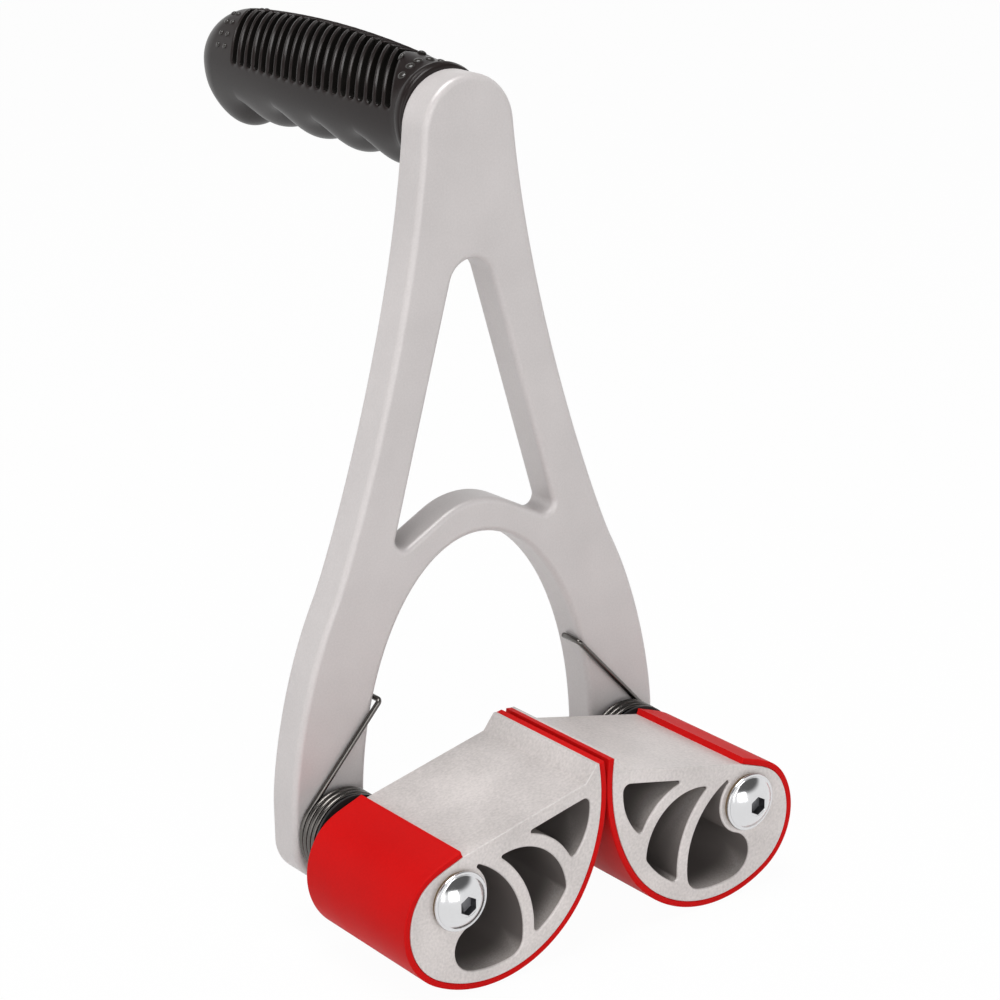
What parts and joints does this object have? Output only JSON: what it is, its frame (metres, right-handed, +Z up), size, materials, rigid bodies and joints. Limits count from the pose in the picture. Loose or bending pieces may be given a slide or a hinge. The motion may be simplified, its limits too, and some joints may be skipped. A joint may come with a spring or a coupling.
{
  "type": "panel carrier",
  "caption": "Hand-held panel carrier: an arched frame with a rear hand grip and sprung, rubber-faced cams in front that pinch the upper edge of a board or sheet.",
  "frame": {"origin": "midway between the pivot axes, in the front face of the frame and in the middle plane of the slot that takes the panel", "axes": "+X from the left cam to the right cam, +Y from the cams back to the grip, +Z up from the cams to the grip"},
  "size_m": [0.169, 0.2284, 0.2978],
  "materials": {
    "frame_coat": "satin powder coat",
    "cam_aluminium": "satin",
    "pad_rubber": "satin",
    "grip_rubber": "satin, ribbed on top",
    "bolt_chrome": "polished",
    "plain_steel": "zinc plated",
    "spring_steel": "drawn wire",
    "sleeve_plastic": "matte",
    "thrust_plastic": "matte",
    "insert_plastic": "matte",
    "bush_bronze": "sintered"
  },
  "bodies": {
    "carrier": {"frame": "frame_coat", "handle_stud": "plain_steel", "handle_bar": "plain_steel", "handle_grip": "grip_rubber", "left_pivot_bolt": "bolt_chrome", "left_lock_nut": "plain_steel", "left_nut_insert": "insert_plastic", "left_rear_washer": "plain_steel", "left_spring_sleeve": "sleeve_plastic", "left_thrust_washer": "thrust_plastic", "left_torsion_spring": "spring_steel", "right_pivot_bolt": "bolt_chrome", "right_lock_nut": "plain_steel", "right_nut_insert": "insert_plastic", "right_rear_washer": "plain_steel", "right_spring_sleeve": "sleeve_plastic", "right_thrust_washer": "thrust_plastic", "right_torsion_spring": "spring_steel"},
    "left_jaw": {"left_cam": "cam_aluminium", "left_pad": "pad_rubber", "left_front_bush": "bush_bronze", "left_rear_bush": "bush_bronze"},
    "right_jaw": {"right_cam": "cam_aluminium", "right_pad": "pad_rubber", "right_front_bush": "bush_bronze", "right_rear_bush": "bush_bronze"}
  },
  "joints": [
    {"name": "left_cam_pivot", "type": "hinge", "parent": "carrier", "child": "left_jaw", "pos_m": [-0.063, 0, 0], "axis": [0, -1, 0], "range_deg": [0, 50], "stiffness_Nm_per_rad": 0.4, "springref_deg": -45.84, "deforming": ["left_torsion_spring"]},
    {"name": "right_cam_pivot", "type": "hinge", "parent": "carrier", "child": "right_jaw", "pos_m": [0.063, 0, 0], "axis": [0, 1, 0], "range_deg": [0, 50], "stiffness_Nm_per_rad": 0.4, "springref_deg": -45.84, "deforming": ["right_torsion_spring"]}
  ]
}
